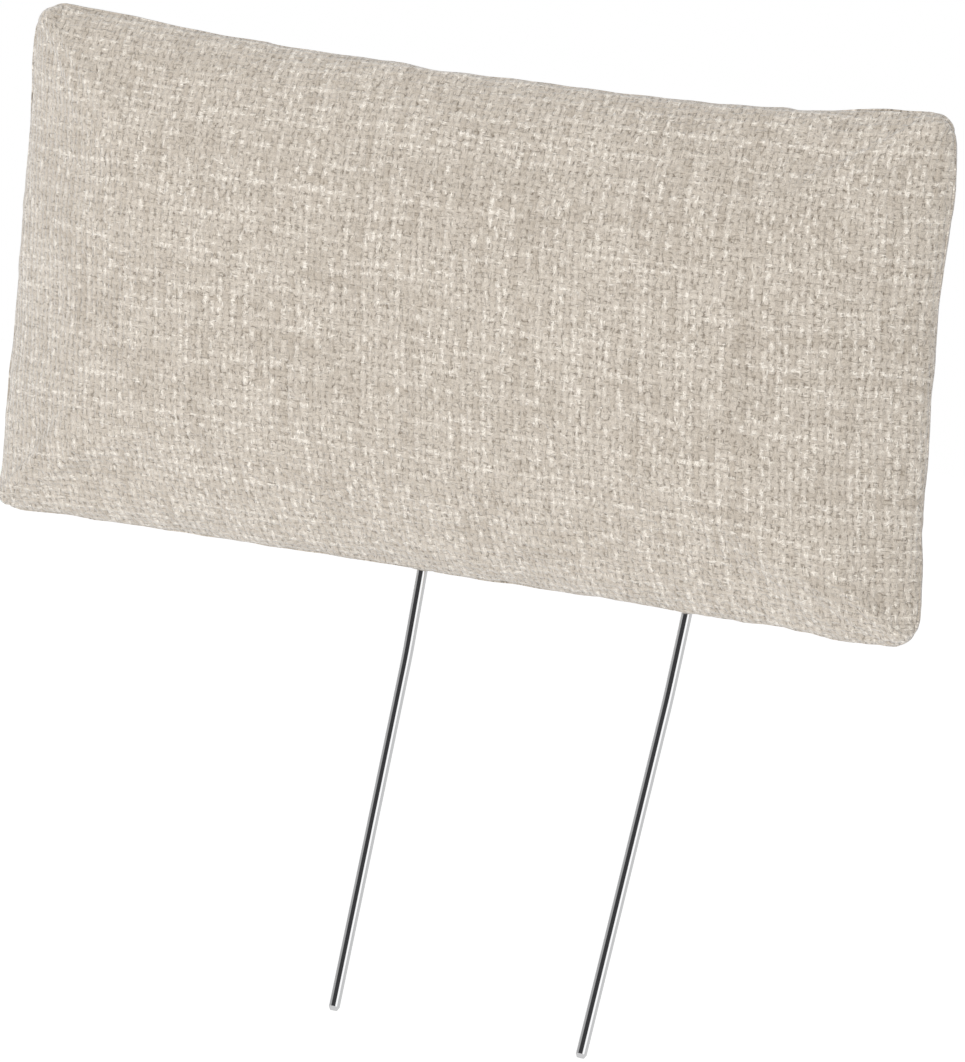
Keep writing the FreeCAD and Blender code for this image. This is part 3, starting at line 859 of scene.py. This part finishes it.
def zip_tape():
    """Narrow herringbone ribbon."""
    g = Surface("zip_tape", Roughness=0.85, Specular_IOR_Level=0.25)
    x, _, z = g.place()
    band = g.math("FLOOR", z / (2.2 * MM))
    turn = g.math("MODULO", band, 2.0) * 2.0 - 1.0
    twill = g.math("SINE", (x + z * turn) * (2 * math.pi / (0.9 * MM))) * 0.5 + 0.5
    fuzz = g.noise(g.vector(x, z, 0.0), 2400.0, 2.0)
    woven = g.mix(twill, colour(160, 149, 134), colour(198, 188, 173))
    g.set(Base_Color=g.mix(fuzz * 0.35, woven, colour(214, 205, 192)))
    g.bump(twill + fuzz * 0.4, 0.15 * MM, 0.7)
    return g.material


def plywood():
    """Birch plies whose layers show at the edges."""
    g = Surface("plywood", Roughness=0.6)
    x, y, z = g.place()
    ply = g.math("MODULO", g.math("FLOOR", y / (1.5 * MM)), 2.0)
    rings = g.noise(g.vector(x * 5.0, ply * 3.0, z * 70.0), 1.0, 4.0)
    pores = g.ramp(g.noise(g.vector(x * 40.0, y * 40.0, z * 1400.0), 1.0, 2.0), 0.60, 0.72)
    face = g.mix(rings, colour(204, 170, 122), colour(231, 208, 168))
    layered = g.mix(ply * 0.45, face, colour(172, 134, 90))
    g.set(Base_Color=g.mix(pores * 0.5, layered, colour(142, 106, 68)))
    g.bump(rings + pores * -0.5, 0.1 * MM, 0.5)
    return g.material


def seat_foam():
    """Open-cell foam."""
    g = Surface("seat_foam", Roughness=0.95, Subsurface_Weight=0.1, Subsurface_Scale=2 * MM)
    x, y, z = g.place()
    cells = g.cells(g.vector(x, y, z), 800.0)
    cloud = g.noise(g.vector(x, y, z), 30.0, 2.0)
    cream = g.mix(cloud, colour(236, 224, 176), colour(242, 233, 196))
    # Painted shade: the hollow middle of each cell is painted darker
    g.set(Base_Color=g.mix(g.ramp(cells, 0.0, 0.45), colour(186, 170, 120), cream))
    g.bump(cells, 0.4 * MM, 0.6)
    return g.material


def fibre_wadding():
    """White polyester fibres lying every way."""
    g = Surface("fibre_wadding", Roughness=1.0, Sheen_Weight=0.4, Specular_IOR_Level=0.2)
    x, y, z = g.place()
    strands = g.noise(g.vector(x * 1800.0, y * 900.0, z * 160.0), 1.0, 3.0)
    others = g.noise(g.vector(x * 160.0, y * 900.0, z * 1800.0), 1.0, 3.0)
    tangle = g.math("MAXIMUM", strands, others)
    g.set(Base_Color=g.mix(g.ramp(tangle, 0.35, 0.7), colour(206, 206, 204), colour(246, 246, 244)))
    g.bump(tangle, 0.8 * MM, 0.7)
    return g.material


def label_cloth():
    """Blank satin ribbon."""
    g = Surface("label_cloth", Roughness=0.5, Sheen_Weight=0.3)
    x, y, z = g.place()
    ribs = g.math("SINE", z * (2 * math.pi / (0.35 * MM))) * 0.5 + 0.5
    cloud = g.noise(g.vector(x, y, z), 200.0, 2.0)
    satin = g.mix(cloud, colour(236, 236, 232), colour(248, 248, 246))
    g.set(Base_Color=g.mix(ribs * 0.3, satin, colour(214, 214, 210)))
    g.bump(ribs, 0.05 * MM, 0.5)
    return g.material


def sewing_thread():
    """Two strands twisted together."""
    g = Surface("sewing_thread", Roughness=0.7, Sheen_Weight=0.2)
    x, y, z = g.place()
    twist = g.math("SINE", (x + z + y) * (2 * math.pi / (0.8 * MM))) * 0.5 + 0.5
    g.set(Base_Color=g.mix(twist, colour(196, 184, 168), colour(232, 224, 212)))
    g.bump(twist, 0.12 * MM, 0.7)
    return g.material


def dress_nodes(finishes):
    """Materials for the CAD nodes that stay visible, by the record's slots."""
    for part in frame["record"]["subparts"]:
        if part["material_slot"] in finishes:
            node = frame["nodes"][part["node"]]
            node.data.materials.clear()
            node.data.materials.append(finishes[part["material_slot"]])


# ---- studio ------------------------------------------------------------------------------------

def sky():
    """Even white surroundings; polished metal sees dark cards, white boxes and a pale ground."""
    world = bpy.data.worlds.new("studio")
    bpy.context.scene.world = world
    world.use_nodes = True
    g = Graph(world.node_tree)
    x, y, z = g.split(Value(g, g.node("ShaderNodeTexCoord").outputs["Generated"]))
    bearing = g.math("ARCTAN2", x, y * -1.0) * (180 / math.pi)
    height = g.math("ARCSINE", z) * (180 / math.pi)
    walls = g.ramp(bearing, -10.0, 10.0, WALLS_LEFT, WALLS_RIGHT)
    seen = g.vector(walls, walls, walls)
    for (begins, whole, fades, ends), brightness in SEEN_ROUND:
        share = g.ramp(bearing, begins, whole) * g.ramp(bearing, fades, ends, 1.0, 0.0)
        seen = g.mix(share, seen, brightness)
    seen = g.mix(g.ramp(height, GROUND_FULL, GROUND_END, 1.0, 0.0), seen, GROUND)
    rays = g.node("ShaderNodeLightPath")
    glossy = Value(g, rays.outputs["Is Glossy Ray"])
    camera = Value(g, rays.outputs["Is Camera Ray"])
    plain = g.mix(camera, (SKY_LIGHT, SKY_LIGHT, SKY_LIGHT, 1), (1, 1, 1, 1))
    g.feed(g.tree.nodes["Background"].inputs["Color"], g.mix(glossy, plain, seen))


def soft_light(name, place, aim, size, power):
    """A large lamp that polished metal doesn't show."""
    data = bpy.data.lights.new(name, "AREA")
    data.shape = "RECTANGLE"
    data.size, data.size_y = size
    data.energy = power
    light = bpy.data.objects.new(name, data)
    bpy.context.scene.collection.objects.link(light)
    light.location = place
    light.visible_glossy = False
    light.rotation_euler = (Vector(aim) - Vector(place)).to_track_quat("-Z", "Y").to_euler()


def floor():
    """A plain white floor, well below the rods."""
    level = CAD_BOUNDS[0][2] - FLOOR_DROP
    corners = [(x * FLOOR_HALF, y * FLOOR_HALF, level) for x, y in ((-1, -1), (1, -1), (1, 1), (-1, 1))]
    plane = make_object("floor", corners, [[0, 1, 2, 3]])
    g = Surface("floor", Roughness=1.0, Specular_IOR_Level=0.0)
    g.set(Base_Color=(1, 1, 1, 1), Emission_Color=(1, 1, 1, 1), Emission_Strength=FLOOR_GLOW)
    plane.data.materials.append(g.material)
    plane.visible_glossy = False


def main():
    bpy.context.scene.view_settings.view_transform = "Standard"
    aim_camera()
    sky()
    soft_light("key", KEY_PLACE, (PAD_X, 0, PAD_Z), KEY_SIZE, KEY_POWER)
    floor()
    makers = (
        chrome, zinc_steel, zip_metal, zip_plastic, zip_tape,
        plywood, seat_foam, fibre_wadding, label_cloth,
    )
    finishes = {maker.__name__: maker() for maker in makers}
    dress_nodes(finishes)
    build_cushion(woven_fabric(), finishes["fibre_wadding"])
    stitch_zip(sewing_thread())


main()
